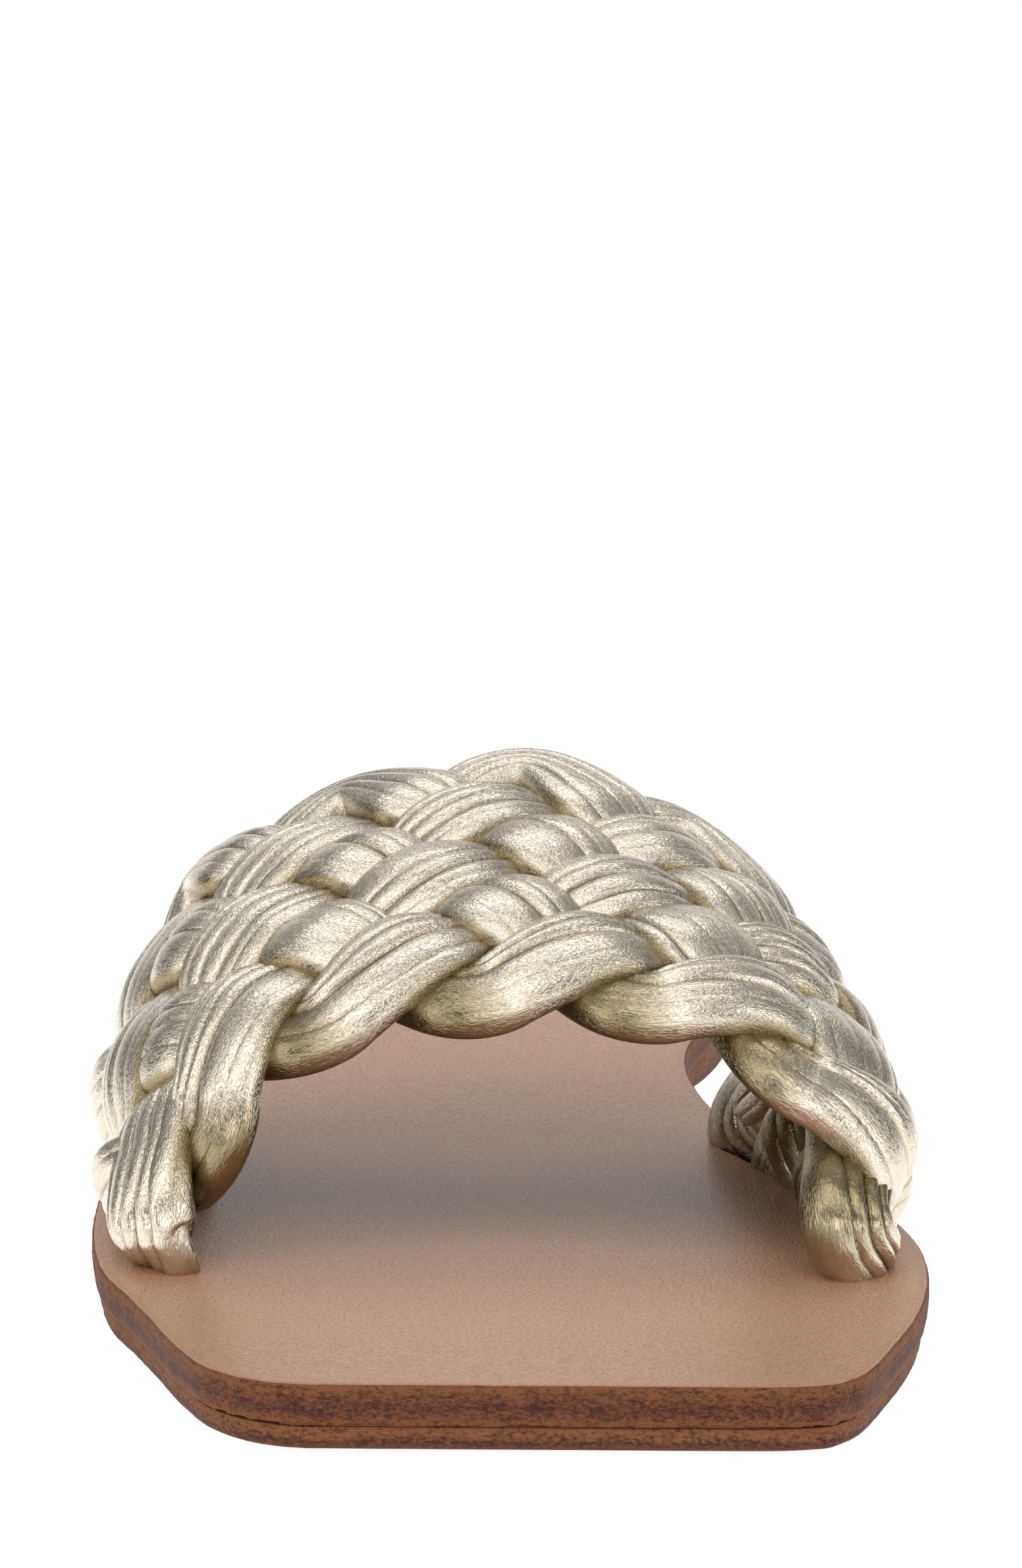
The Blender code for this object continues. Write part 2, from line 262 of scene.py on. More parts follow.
# How far the braid stands out from or sinks below its smooth wall, round the
# strap, at the front edge, the middle and the rear edge
SHIFT_AROUND = (0.0, 0.03, 0.10, 0.20, 0.30, 0.45, 0.60, 0.75, 0.90, 0.97, 1.0)
SHIFT_FRONT = (0.0, 1.2, -1.6, -2.0, -1.4, -0.2, 0.4, 1.0, 0.5, -0.2, 0.0)
SHIFT_MIDDLE = (0.0, 1.2, -1.6, -2.0, -1.2, -0.3, 0.0, -0.3, -0.9, -0.2, 0.0)
SHIFT_REAR = (0.0, 0.6, -1.4, -1.2, 0.7, 1.3, 0.5, -0.6, -0.8, -0.2, 0.0)

# Lengthwise creases of a strand: place across it, width, usual depth
TRACKS = (-0.62, -0.08, 0.36, 0.74)
TRACK_WIDTH = (0.2, 0.26, 0.22, 0.17)
RISING_DEPTH = (0.08, 0.42, 0.26, 0.12)
FALLING_DEPTH = (0.12, 0.14, 0.22, 0.08)
EVEN_COLUMNS = 31
COLUMN_OFFSETS = (-0.07, -0.035, -0.014, 0.0, 0.014, 0.035, 0.07)
CREASE_ROUND = 0.012
DEEPEST = 0.85
DEPTH_WANDER = 1.1
TRACK_WANDER = 0.05
WANDER_STEP = 0.9
WANDER_SEED = 7.31
WANDER_LAYER = 1.7
WANDER_STRENGTH = 1.6
DEPTH_SEED_STEP = 11
DEPTH_SEED = 40
TRACK_SEED_STEP = 5
TRACK_SEED = 1

# Creases listed one by one where a strand shows: strand, place counted in loops,
# then each crease as (place across the strand, share of its thickness)
HAND_CREASES = (
    (1, 1.5, ((-0.60, 0.25), (-0.28, 0.45), (0.14, 0.50), (0.55, 0.45))),
    (2, 2.4, ((-0.70, 0.10), (-0.10, 0.66), (0.26, 0.38), (0.60, 0.36))),
    (3, 3.4, ((-0.70, 0.22), (-0.02, 0.80), (0.42, 0.34), (0.76, 0.10))),
    (4, 4.4, ((-0.66, 0.06), (0.04, 0.70), (0.46, 0.36), (0.78, 0.06))),
    (5, 5.4, ((-0.62, 0.10), (-0.12, 0.66), (0.50, 0.34), (0.76, 0.20))),
    (6, 6.3, ((-0.66, 0.08), (0.12, 0.72), (0.50, 0.22), (0.78, 0.12))),
    (0, 7.0, ((-0.50, 0.45), (-0.10, 0.55), (0.30, 0.50), (0.66, 0.35))),
    (3, 2.0, ((-0.50, 0.10), (-0.05, 0.12), (0.40, 0.25), (0.70, 0.10))),
    (4, 3.0, ((-0.60, 0.04), (-0.10, 0.06), (0.35, 0.14), (0.70, 0.16))),
    (5, 4.0, ((-0.60, 0.08), (0.02, 0.66), (0.42, 0.10), (0.74, 0.10))),
    (6, 5.0, ((-0.72, 0.45), (-0.10, 0.06), (0.35, 0.08), (0.72, 0.12))),
    (1, 2.5, ((-0.66, 0.12), (-0.30, 0.50), (0.14, 0.55), (0.56, 0.45))),
    (2, 3.5, ((-0.72, 0.14), (-0.36, 0.66), (0.02, 0.26), (0.60, 0.06))),
    (3, 4.5, ((-0.52, 0.42), (-0.02, 0.52), (0.44, 0.16), (0.76, 0.06))),
    (4, 5.5, ((-0.56, 0.45), (-0.14, 0.56), (0.26, 0.52), (0.62, 0.36))),
    (5, 3.0, ((-0.66, 0.08), (0.00, 0.85), (0.44, 0.10), (0.76, 0.06))),
    (6, 4.0, ((-0.60, 0.06), (0.08, 0.36), (0.44, 0.10), (0.74, 0.14))),
    (0, 5.0, ((-0.50, 0.20), (-0.06, 0.36), (0.34, 0.30), (0.70, 0.16))),
    (0, 2.5, ((-0.60, 0.14), (-0.22, 0.48), (0.26, 0.46), (0.66, 0.16))),
    (1, 3.5, ((-0.70, 0.10), (-0.36, 0.50), (0.06, 0.58), (0.48, 0.46))),
    (2, 4.5, ((-0.60, 0.10), (-0.05, 0.20), (0.40, 0.16), (0.74, 0.06))),
    (0, 3.7, ((-0.52, 0.36), (-0.04, 0.16), (0.40, 0.32), (0.72, 0.22))),
    (1, 4.8, ((-0.48, 0.34), (-0.06, 0.46), (0.34, 0.44), (0.68, 0.34))),
    (6, 2.7, ((-0.60, 0.16), (-0.16, 0.36), (0.26, 0.32), (0.64, 0.30))),
    (5, 2.0, ((-0.60, 0.10), (-0.10, 0.30), (0.35, 0.34), (0.70, 0.20))),
)
HAND_REACH = 0.46
LEG_REACH = 0.11
LEG_CREASE = (0.24, 0.46, 0.26, 0.10)
# Next two: painted shadow line in the deepest creases, its reach across the strand and the crease
# depth where it is full
SHADOW_LINE_REACH = 0.05
SHADOW_LINE_FULL = 0.5

# Strap leather: colours, then stretch and scale of each noise
GOLD_LIGHT = (0.70, 0.635, 0.53, 1.0)
GOLD_DULL = (0.64, 0.575, 0.475, 1.0)
# The next three are painted shade: in the crinkle's valleys, in creases, along strand sides and
# under other strands, and a painted shadow line in deep creases
GOLD_CRINKLE_SHADE = (0.38, 0.31, 0.20, 1.0)
GOLD_SHADE = (0.22, 0.17, 0.075, 1.0)
GOLD_SHADOW_LINE = (0.05, 0.035, 0.012, 1.0)
GOLD_METALLIC = 0.96
CRINKLE_STRETCH = (0.62, 1.25, 1.0)
CRINKLE_SCALE = 2000.0
CRINKLE_HALF = 0.11
GRAIN_STRETCH = (0.7, 1.3, 1.0)
GRAIN_SCALE = 4200.0
WRINKLE_STRETCH = (0.4, 1.6, 1.0)
WRINKLE_SCALE = 420.0
BROAD_STRETCH = (1.0, 1.4, 1.0)
BROAD_SCALE = 90.0
WRINKLE_HEIGHT = 0.00012
WRINKLE_STRENGTH = 0.45
CRINKLE_HEIGHT = 0.000028
CRINKLE_STRENGTH = 0.9
GRAIN_SHARE = 1.2
# Next three: how much painted shade and painted shadow line are mixed in
CRINKLE_SHADE_SHARE = 0.3
SHADE_SHARE = 0.85
SHADOW_LINE_SHARE = 0.9
# Next two: where the painted shade in creases and along sides, and under other strands, starts and
# is full
FOLD_SHADE_RANGE = (0.18, 0.62)
TUCK_SHADE_RANGE = (0.25, 1.0)
GOLD_ROUGHNESS = (0.26, 0.17)

# The part of a noise's values that most of the surface has
NOISE_RANGE = (0.3, 0.7)

# Insole leather
TAN_DARK = (0.425, 0.218, 0.122, 1.0)
TAN_LIGHT = (0.485, 0.26, 0.151, 1.0)
TAN_PORE = (0.27, 0.13, 0.075, 1.0)
TAN_RIM = (0.33, 0.15, 0.08, 1.0)
TAN_STRETCH = (1.0, 1.0, 0.3)
PEBBLE_SCALE = 2700.0
FINE_SCALE = 4200.0
PATCH_SCALE = 26.0
DENT_SCALE = 60.0
DENT_HEIGHT = 0.0005
DENT_STRENGTH = 0.25
PEBBLE_HEIGHT = 0.00011
PEBBLE_STRENGTH = 0.9
FINE_HEIGHT = 0.00003
FINE_STRENGTH = 0.7
PORE_RANGE = (0.47, 0.34)
PORE_SHARE = 0.7
PEBBLE_RANGE = (0.36, 0.52)
RIM_SHARE = 0.55
TAN_ROUGHNESS = (0.46, 0.36)
COAT = 0.2
COAT_ROUGHNESS = 0.28

# Edge leather: shades at the foot, middle and top of the wall, dark patches,
# light fibres, and the height where the dark patches are thickest
UPPER_EDGE = (
    (0.175, 0.059, 0.020),
    (0.145, 0.046, 0.018),
    (0.185, 0.066, 0.024),
    (0.04, 0.013, 0.010, 1.0),
    (0.30, 0.14, 0.08, 1.0),
    0.5,
)
LOWER_EDGE = (
    (0.095, 0.031, 0.014),
    (0.185, 0.066, 0.025),
    (0.235, 0.09, 0.034),
    (0.045, 0.015, 0.011, 1.0),
    (0.32, 0.15, 0.08, 1.0),
    0.3,
)
STREAK_STRETCH = (1.0, 1.7, 1.0)
STREAK_SCALE = 1500.0
BLOTCH_STRETCH = (1.0, 2.0, 1.0)
BLOTCH_SCALE = 330.0
FIBRE_STRETCH = (1.0, 3.0, 1.0)
FIBRE_SCALE = 2600.0
STREAK_HEIGHT = 0.00025
STREAK_STRENGTH = 0.7
FIBRE_HEIGHT = 0.00006
FIBRE_STRENGTH = 0.8
BELT_LOW = (0.25, 0.25, 0.25)
BELT_FULL = (1.0, 1.0, 1.0)
BELT_HIGH = (0.15, 0.15, 0.15)
PATCH_SHARE = 0.45
BELT_SHARE = 0.2
DARK_RANGE = (0.76, 0.98)
FIBRE_RANGE = (0.58, 0.72)
FIBRE_SHARE = 0.5
EDGE_ROUGHNESS = (0.72, 0.56)
EDGE_SPECULAR = 0.15

# Camera
CAMERA_PITCH = 13.5
CAMERA_BEHIND = -625.15
CAMERA_HEIGHT = 189.0
FOCAL_PIXELS = 9493.0
IMAGE_WIDTH = 1552.0
IMAGE_HEIGHT = 2380.0
PRINCIPAL_DOWN = 1673.0

SENSOR_WIDTH = 36.0
CLIP_NEAR = 0.01
CLIP_FAR = 50.0

# Studio light from around: height of the direction, brightness
SKY = ((0.0, 0.65), (0.2, 0.32), (0.45, 0.3), (0.75, 0.75), (1.0, 0.8))
SKY_TINT = (0.97, 0.98, 1.0)
SKY_STRENGTH = 0.6
FLOOR_REACH = 6.0
FLOOR_COLOUR = (0.6, 0.6, 0.6, 1.0)
FLOOR_GLOW_COLOUR = (1.0, 1.0, 1.0, 1.0)
FLOOR_GLOW = 0.9
FLOOR_ROUGHNESS = 0.9

# Lamps: name, place and target in metres, size, power, colour
LAMPS = (
    ("key", (-0.12, -0.42, 0.84), (0.0, -0.02, 0.03), (1.0, 0.6), 3.2, (1.0, 0.985, 0.96)),
    ("top", (0.0, 0.45, 0.85), (0.0, 0.05, 0.0), (0.7, 0.4), 2.0, (0.99, 0.99, 1.0)),
    ("left", (-0.80, -0.30, 0.34), (0.0, -0.03, 0.03), (0.5, 0.7), 2.0, (1.0, 0.99, 0.98)),
    ("right", (0.80, -0.30, 0.34), (0.0, -0.03, 0.03), (0.5, 0.7), 2.3, (1.0, 0.99, 0.98)),
    ("rear", (0.0, 1.10, 0.30), (0.0, 0.0, 0.03), (1.6, 0.4), 1.9, (1.0, 0.99, 0.98)),
    ("front", (0.0, -1.30, 0.42), (0.0, 0.0, 0.02), (1.3, 0.5), 5.4, (1.0, 0.99, 0.97)),
)


def smoothstep(value):
    value = np.clip(value, 0.0, 1.0)
    return value * value * (3.0 - 2.0 * value)


def catmull(points, places):
    """Points on a smooth curve through the given points, at places from 0 to 1."""
    points = np.asarray(points, float)
    spans = len(points) - 1
    scaled = np.clip(places, 0.0, 1.0) * spans
    index = np.minimum(scaled.astype(int), spans - 1)
    u = (scaled - index)[:, None]
    before = points[np.maximum(index - 1, 0)]
    start = points[index]
    end = points[index + 1]
    after = points[np.minimum(index + 2, spans)]
    cubic = -before + 3.0 * start - 3.0 * end + after
    square = 2.0 * before - 5.0 * start + 4.0 * end - after
    return 0.5 * (2.0 * start + (end - before) * u + square * u ** 2 + cubic * u ** 3)


# Heights of the sole

def toe_spring(behind):
    return TOE_SPRING * np.maximum(1.0 - behind / TOE_SPRING_LENGTH, 0.0) ** 2


def underside(behind):
    share = np.clip((behind - WAIST_START) / (WAIST_END - WAIST_START), 0.0, 1.0)
    return toe_spring(behind) + WAIST_LIFT * np.sin(math.pi * share) ** 2


def outsole_top(behind):
    rise = (behind - HEEL_RISE_START) / (WAIST_END - HEEL_RISE_START)
    return OUTSOLE_THICK + toe_spring(behind) + HEEL_EXTRA * smoothstep(rise)


def footbed_top(behind):
    return outsole_top(behind) + GAP + MIDSOLE_THICK + GAP + INSOLE_THICK


def unit(rows):
    return rows / np.linalg.norm(rows, axis=1, keepdims=True)


def running_total(steps):
    return np.concatenate([[0.0], np.cumsum(steps)])


def outline_sides():
    """Matching points down the big-toe and little-toe sides, toe to heel."""
    rows = catmull(OUTLINE, np.arange(EDGE_STATIONS + 1) / EDGE_STATIONS)
    behind = rows[:, 0] * SOLE_LENGTH
    skew = FRONT_SKEW * np.maximum(1.0 - behind / SKEW_FADE, 0.0)
    sides = []
    for share, sign in ((rows[:, 1], 1.0), (rows[:, 2], -1.0)):
        x = share * BALL_WIDTH * sign
        sides.append(np.stack([x, behind - skew * x], axis=1))
    return sides


def shift_to_frame():
    """Move from shoe measures to the frame, both in millimetres."""
    loop = np.concatenate(outline_sides())
    low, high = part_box("insole")
    middle_x = (low.x + high.x) * 0.5 / MM
    return np.array([
        middle_x - (loop[:, 0].min() + loop[:, 0].max()) * 0.5,
        low.y / MM - loop[:, 1].min(),
        0.0,
    ])


SHIFT = shift_to_frame()


# Strap surface

def even_section(section):
    """Evenly spaced points round one section of the strap's wall."""
    rows = []
    for x_share, behind_share, over_share in section:
        behind = behind_share * SOLE_LENGTH
        height = float(footbed_top(behind)) + over_share * STRAP_HEIGHT
        rows.append(np.array([x_share * BALL_WIDTH, behind, height]))
    leg = np.array([0.0, 0.0, LEG_STRAIGHT])
    first_leg = rows[0] + leg + (rows[1] - rows[0]) * LEG_LEAN
    last_leg = rows[-1] + leg + (rows[-2] - rows[-1]) * LEG_LEAN
    control = [rows[0], first_leg] + rows[1:-1] + [last_leg, rows[-1]]
    fine = catmull(control, np.linspace(0.0, 1.0, CURVE_FINE))
    lengths = running_total(np.linalg.norm(np.diff(fine, axis=0), axis=1))
    even = np.linspace(0.0, lengths[-1], CURVE_STEPS + 1)
    return np.stack([np.interp(even, lengths, fine[:, axis]) for axis in range(3)], axis=1)


CURVES = [even_section(section) for section in SECTIONS]


def section_weights(depth):
    """Shares of the front, middle and rear section, at depths from 0 to 1."""
    return (
        2.0 * (depth - 0.5) * (depth - 1.0),
        -4.0 * depth * (depth - 1.0),
        2.0 * depth * (depth - 0.5),
    )


def strap_point(around, depth):
    """Middle of the wall; below the footbed the strap runs straight down."""
    scaled = np.clip(around, 0.0, 1.0) * CURVE_STEPS
    index = np.minimum(scaled.astype(int), CURVE_STEPS - 1)
    share = (scaled - index)[:, None]
    point = 0.0
    for curve, weight in zip(CURVES, section_weights(depth[:, None])):
        point = point + (curve[index] * (1.0 - share) + curve[index + 1] * share) * weight
    below = np.maximum(-around, 0.0) + np.maximum(around - 1.0, 0.0)
    point[:, 2] -= below * CURVE_LENGTH
    return point


def strap_normal(around, depth):
    step = NORMAL_STEP
    across = strap_point(around + step, depth) - strap_point(around - step, depth)
    along = strap_point(around, depth + step) - strap_point(around, depth - step)
    return unit(np.cross(across, along))


def around_of(loops, row):
    """Share of the way round the strap at a loop and a row."""
    depth = row / STRANDS
    middle = FRONT_MIDDLE + REAR_SHIFT * depth
    pitch = FRONT_PITCH + (REAR_PITCH - FRONT_PITCH) * depth
    return middle + (loops - MIDDLE_LOOP) * pitch


# Strands of the braid. The phase of a strand counts rows along its path:
# 0 to 7 rising from the front edge to the rear, 7 to 14 falling back again.

def rounded_turn(distance):
    """Rows from an edge, with the turn at the edge rounded off."""
    curve = np.sqrt(distance ** 2 + TURN ** 2)
    return curve - (curve - distance) * smoothstep((distance - TURN_FADE_START) / TURN_FADE)


def strand_row(phase):
    phase = np.mod(phase, CYCLE)
    from_front = np.minimum(phase, CYCLE - phase)
    low = rounded_turn(from_front)
    high = ROWS - rounded_turn(ROWS - from_front)
    return np.where(from_front < MIDDLE_ROW, low, high)


def over_under(phase):
    """1 where the strand is on top, -1 where it is underneath."""
    p = np.mod(phase, CYCLE)
    value = -np.cos(math.pi * p)
    rear_turn = np.clip((p - (ROWS - 1.0)) * 0.5, 0.0, 1.0) ** REAR_SWAP_CURVE
    at_rear = (p > ROWS - 1.0) & (p <= ROWS + 1.0)
    value = np.where(at_rear, -np.cos(math.pi * rear_turn), value)
    falling = (p > ROWS + 1.0) & (p <= CYCLE - 1.0)
    value = np.where(falling, np.cos(math.pi * p), value)
    late = np.where(p > CYCLE - 1.0, p - (CYCLE - 1.0), p + 1.0)
    front_turn = np.clip(late * 0.5, 0.0, 1.0) ** FRONT_SWAP_CURVE
    at_front = (p > CYCLE - 1.0) | (p < 1.0)
    value = np.where(at_front, -np.cos(math.pi * front_turn), value)
    return np.sign(value) * np.abs(value) ** SWAP_CURVE


def turning(phase):
    """1 at the front turn, 1 at the rear turn, 0 between."""
    p = np.mod(phase, CYCLE)
    front = np.minimum(p, CYCLE - p)
    rear = np.abs(p - ROWS)
    return 1.0 - smoothstep(front / TURN_REACH), 1.0 - smoothstep(rear / TURN_REACH)


def crease_columns():
    """Places across the strip, gathered closely around each crease."""
    even = np.sin(np.linspace(-0.5, 0.5, EVEN_COLUMNS) * math.pi)
    places = set(np.round(even, 5))
    for track in TRACKS:
        for offset in COLUMN_OFFSETS:
            places.add(round(track + offset, 5))
    return np.array(sorted(places))


COLUMNS = crease_columns()


def smooth_noise(seed, phase):
    """A slow random wave along a strand, about -1 to 1."""
    height = seed * WANDER_SEED
    waves = [
        noise.noise(Vector((float(p) * WANDER_STEP, height, WANDER_LAYER)))
        for p in phase
    ]
    return np.array(waves) * WANDER_STRENGTH


def round_ring(upper, lower):
    """Out along the upper face of a strand and back along its lower face."""
    return np.concatenate([upper, lower[:, -2:0:-1]], axis=1)


class Strand:
    """One strand of the braid, measured ring by ring along its path."""

    def __init__(self, index):
        self.index = index
        loops = np.arange(FIRST_LOOP, LAST_LOOP, RING_STEP)
        phase = ROWS_PER_LOOP * (loops - index)
        row = strand_row(phase)
        around = around_of(loops, row)
        keep = (around > -SLOT_PAST) & (around < 1.0 + SLOT_PAST)
        self.loops = loops[keep]
        self.phase = phase[keep]
        around = around[keep]
        self.from_slot = np.minimum(around, 1.0 - around)
        self.full = smoothstep((self.from_slot + SLOT_FULL_START) / SLOT_FADE) ** SLOT_FULL_CURVE
        gather = 1.0 - SLOT_GATHER * (1.0 - self.full)
        self.row = MIDDLE_ROW + (row[keep] - MIDDLE_ROW) * gather
        self.around = around_of(self.loops, self.row)
        self.over = over_under(self.phase)
        self.front_turn, self.rear_turn = turning(self.phase)
        self.turn = np.maximum(self.front_turn, self.rear_turn)
        self.rising = np.mod(self.phase, CYCLE) < ROWS
        self.toward_toe = 1.0 - smoothstep(self.row / TWIST_ROWS)
        self.bunch = 1.0 + LEG_BUNCH * self.near_slot(BUNCH_REACH, BUNCH_PLACE)

    def near_slot(self, reach, place=0.0):
        """1 at a distance from the slot, falling away over the reach."""
        return np.exp(-((self.from_slot - place) / reach) ** 2)

    def frame(self):
        """Middle of the strand, its way out of the wall and its way across."""
        depth = self.row / STRANDS
        lift = SLOT_HALF + (RIDE_OVER * self.bunch - SLOT_HALF) * self.full
        stand = 0.0
        tables = (SHIFT_FRONT, SHIFT_MIDDLE, SHIFT_REAR)
        for table, weight in zip(tables, section_weights(depth)):
            stand = stand + np.interp(self.around, SHIFT_AROUND, table) * weight
        centre = strap_point(self.around, depth)
        square = strap_normal(self.around, depth)
        centre = centre + square * (self.over * lift + stand)[:, None]
        tangent = unit(np.gradient(centre, axis=0))
        square = unit(square - tangent * np.sum(square * tangent, axis=1, keepdims=True))
        across = np.cross(square, tangent)
        turned = np.where(self.around < 0.5, OUTER_TWIST, INNER_TWIST)
        twist = turned * self.full * self.toward_toe * self.near_slot(TWIST_REACH)
        cosine = np.cos(twist)[:, None]
        sine = np.sin(twist)[:, None]
        return centre, square * cosine - across * sine, across * cosine + square * sine

    def half_thickness(self):
        half = SLOT_HALF + (HALF_THICK * self.bunch - SLOT_HALF) * self.full
        turns = FRONT_TURN_THICK * self.front_turn + REAR_TURN_THICK * self.rear_turn
        return half * (1.0 + turns)

    def half_widths(self):
        """Half widths on the side to the rear and on the side to the front."""
        width = np.where(self.rising, RISING_HALF, FALLING_HALF)
        wide = smoothstep((self.over + WIDE_START) / WIDE_SPAN)
        width = width * (UNDER_WIDTH + (1.0 - UNDER_WIDTH) * wide)
        narrow = SLOT_NARROW + (1.0 - SLOT_NARROW) * self.full
        leg = LEG_NARROW * self.toward_toe * self.near_slot(NARROW_REACH)
        narrow = narrow * (1.0 - leg)
        straight = width * (1.0 - self.turn)
        rearward = straight + TURN_INNER * self.front_turn + TURN_OUTER * self.rear_turn
        forward = straight + TURN_OUTER * self.front_turn + TURN_INNER * self.rear_turn
        return rearward * narrow, forward * narrow

    def creases(self):
        """Place across and depth of each lengthwise crease."""
        tracks = np.tile(TRACKS, (len(self.phase), 1))
        depths = np.where(self.rising[:, None], RISING_DEPTH, FALLING_DEPTH)
        for number in range(len(TRACKS)):
            wave = smooth_noise(self.index * DEPTH_SEED_STEP + number + DEPTH_SEED, self.phase)
            depths[:, number] *= 1.0 + DEPTH_WANDER * wave
        for owner, place_along, creases in HAND_CREASES:
            if owner == self.index:
                share = np.exp(-((self.loops - place_along) / HAND_REACH) ** 2)[:, None]
                wanted = np.array(creases)
                tracks += share * (wanted[:, 0] - tracks)
                depths += share * (wanted[:, 1] - depths)
        for number in range(len(TRACKS)):
            wave = smooth_noise(self.index * TRACK_SEED_STEP + number + TRACK_SEED, self.phase)
            tracks[:, number] += TRACK_WANDER * wave
        depths += (np.array(LEG_CREASE) - depths) * self.near_slot(LEG_REACH)[:, None]
        return tracks, np.clip(depths, 0.0, DEEPEST)

    def section(self):
        """Place across, share of the thickness, trough, and the painted shadow line in the deep
        creases, by column.
        """
        tracks, depths = self.creases()
        edges = np.ones((len(tracks), 1))
        real = np.concatenate([-edges, tracks, edges], axis=1)
        ideal = (-1.0,) + TRACKS + (1.0,)
        place = np.stack([np.interp(COLUMNS, ideal, ring) for ring in real])
        boxy = BOXY + SLOT_BOXY * (1.0 - self.full[:, None])
        envelope = (1.0 - np.abs(place) ** boxy) ** (1.0 / boxy)
        trough = np.zeros_like(place)
        shadow_line = np.zeros_like(place)
        for number, spread in enumerate(TRACK_WIDTH):
            track = tracks[:, number:number + 1]
            depth = depths[:, number:number + 1]
            gap = np.sqrt((place - track) ** 2 + CREASE_ROUND ** 2)
            bowl = 1.0 - np.sqrt(1.0 - (1.0 - np.minimum(gap / spread, 1.0)) ** 2)
            # Painted shadow line along the deepest creases
            thin = 1.0 - smoothstep(gap / SHADOW_LINE_REACH)
            trough = np.maximum(trough, bowl * depth)
            shadow_line = np.maximum(shadow_line, thin * smoothstep(depth / SHADOW_LINE_FULL))
        return place, envelope, trough, shadow_line

    def shape(self):
        """Points, then marks for painted shade in creases and along the sides, a painted shadow line
        in deep creases and painted shade where the strand runs under, then grain along and round.
        """
        place, envelope, trough, shadow_line = self.section()
        rearward, forward = self.half_widths()
        half = self.half_thickness()[:, None]
        reach = np.where(place > 0.0, rearward[:, None], forward[:, None]) * place
        sag = -reach ** 2 / SAG_LENGTH
        upper = half * envelope * (1.0 - trough) + sag
        lower = -half * envelope * (1.0 - UNDER_CREASE * trough) + sag
        centre, square, across = self.frame()
        points = centre[:, None, :] + across[:, None, :] * round_ring(reach, reach)[:, :, None]
        points = points + square[:, None, :] * round_ring(upper, lower)[:, :, None]
        lowest = footbed_top(points[:, :, 1]) - SLOT_REACH
        points[:, :, 2] = np.maximum(points[:, :, 2], lowest)
        # Painted shade marks: in the crease troughs, along the strand's sides and where the strand
        # runs under another, and a painted shadow line in deep creases
        side = smoothstep((np.abs(place) - SIDE_SHADE_START) / SIDE_SHADE_SPAN)
        side_shade = round_ring(side, side) * SIDE_SHADE * (1.0 - self.turn[:, None])
        fold_shade = np.maximum(round_ring(trough, trough), side_shade)
        tuck_shade = smoothstep(TUCK_SHADE_START - self.over)[:, None] * np.ones_like(fold_shade)
        marks = {"fold_shade": fold_shade, "tuck_shade": tuck_shade, "shadow_line": round_ring(shadow_line, shadow_line)}
        length = running_total(np.linalg.norm(np.diff(centre, axis=0), axis=1))
        girth = np.linalg.norm(np.diff(points, axis=1, append=points[:, :1]), axis=2)
        start = np.zeros((len(points), 1))
        girth = np.concatenate([start, np.cumsum(girth, axis=1)], axis=1)
        return points, marks, length, girth


# Meshes

def ring_quads(rings, sides):
    """Faces that join each ring of points to the next, round and round."""
    ring = np.arange(rings - 1)[:, None]
    side = np.arange(sides)[None, :]
    following = (side + 1) % sides
    corners = (
        ring * sides + side,
        ring * sides + following,
        (ring + 1) * sides + following,
        (ring + 1) * sides + side,
    )
    return np.stack(corners, axis=2).reshape(-1, 4).tolist()


def link_object(name, data):
    made = bpy.data.objects.new(name, data)
    bpy.context.scene.collection.objects.link(made)
    return made


def grid_object(name, points, look):
    """A closed tube from rings of points, each ring joined round to itself."""
    rings, sides = points.shape[:2]
    places = (points.reshape(-1, 3) + SHIFT) * MM
    faces = ring_quads(rings, sides)
    faces.append(list(range(sides))[::-1])
    faces.append([(rings - 1) * sides + value for value in range(sides)])
    mesh = bpy.data.meshes.new(name)
    mesh.from_pydata(places.tolist(), [], faces)
    mesh.materials.append(look)
    return link_object(name, mesh)


def corner_places(mesh, rings, sides):
    """Point, ring and side of each face corner, closing faces counted on."""
    where = np.zeros(len(mesh.loops), int)
    mesh.loops.foreach_get("vertex_index", where)
    side = where % sides
    walls = (rings - 1) * sides * 4
    closing = np.ptp(side[:walls].reshape(-1, 4), axis=1) > 1
    side[:walls][np.repeat(closing, 4) & (side[:walls] == 0)] = sides
    return where, where // sides, side


def set_uv(mesh, name, u, v):
    layer = mesh.uv_layers.new(name=name)
    layer.data.foreach_set("uv", np.stack([u, v], axis=1).astype(np.float32).reshape(-1))


def mark_points(mesh, name, values):
    mark = mesh.attributes.new(name, "FLOAT", "POINT")
    mark.data.foreach_set("value", values.reshape(-1))


def face_out(made):
    """Turns every face to point out of the closed body."""
    data = bmesh.new()
    data.from_mesh(made.data)
    bmesh.ops.recalc_face_normals(data, faces=data.faces)
    data.to_mesh(made.data)
    data.free()
    made.data.polygons.foreach_set("use_smooth", [True] * len(made.data.polygons))
    made.data.update()


def strand(index, look):
    points, marks, length, girth = Strand(index).shape()
    made = grid_object("strap_strand_%d" % (index + 1), points, look)
    mesh = made.data
    for name, values in marks.items():
        mark_points(mesh, name, values)
    # Grain runs along the strand: lengthwise place, then place round it
    where, ring, side = corner_places(mesh, *points.shape[:2])
    set_uv(mesh, "along", (length[ring] + index * GRAIN_STEP) * MM, girth[ring, side] * MM)
    face_out(made)
    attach(made, "root")
    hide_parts("upper")


# Materials

def feed(tree, socket, value):
    """Joins a socket to a value's source, or sets it to the value."""
    if isinstance(value, bpy.types.NodeSocket):
        tree.links.new(value, socket)
    else:
        socket.default_value = value


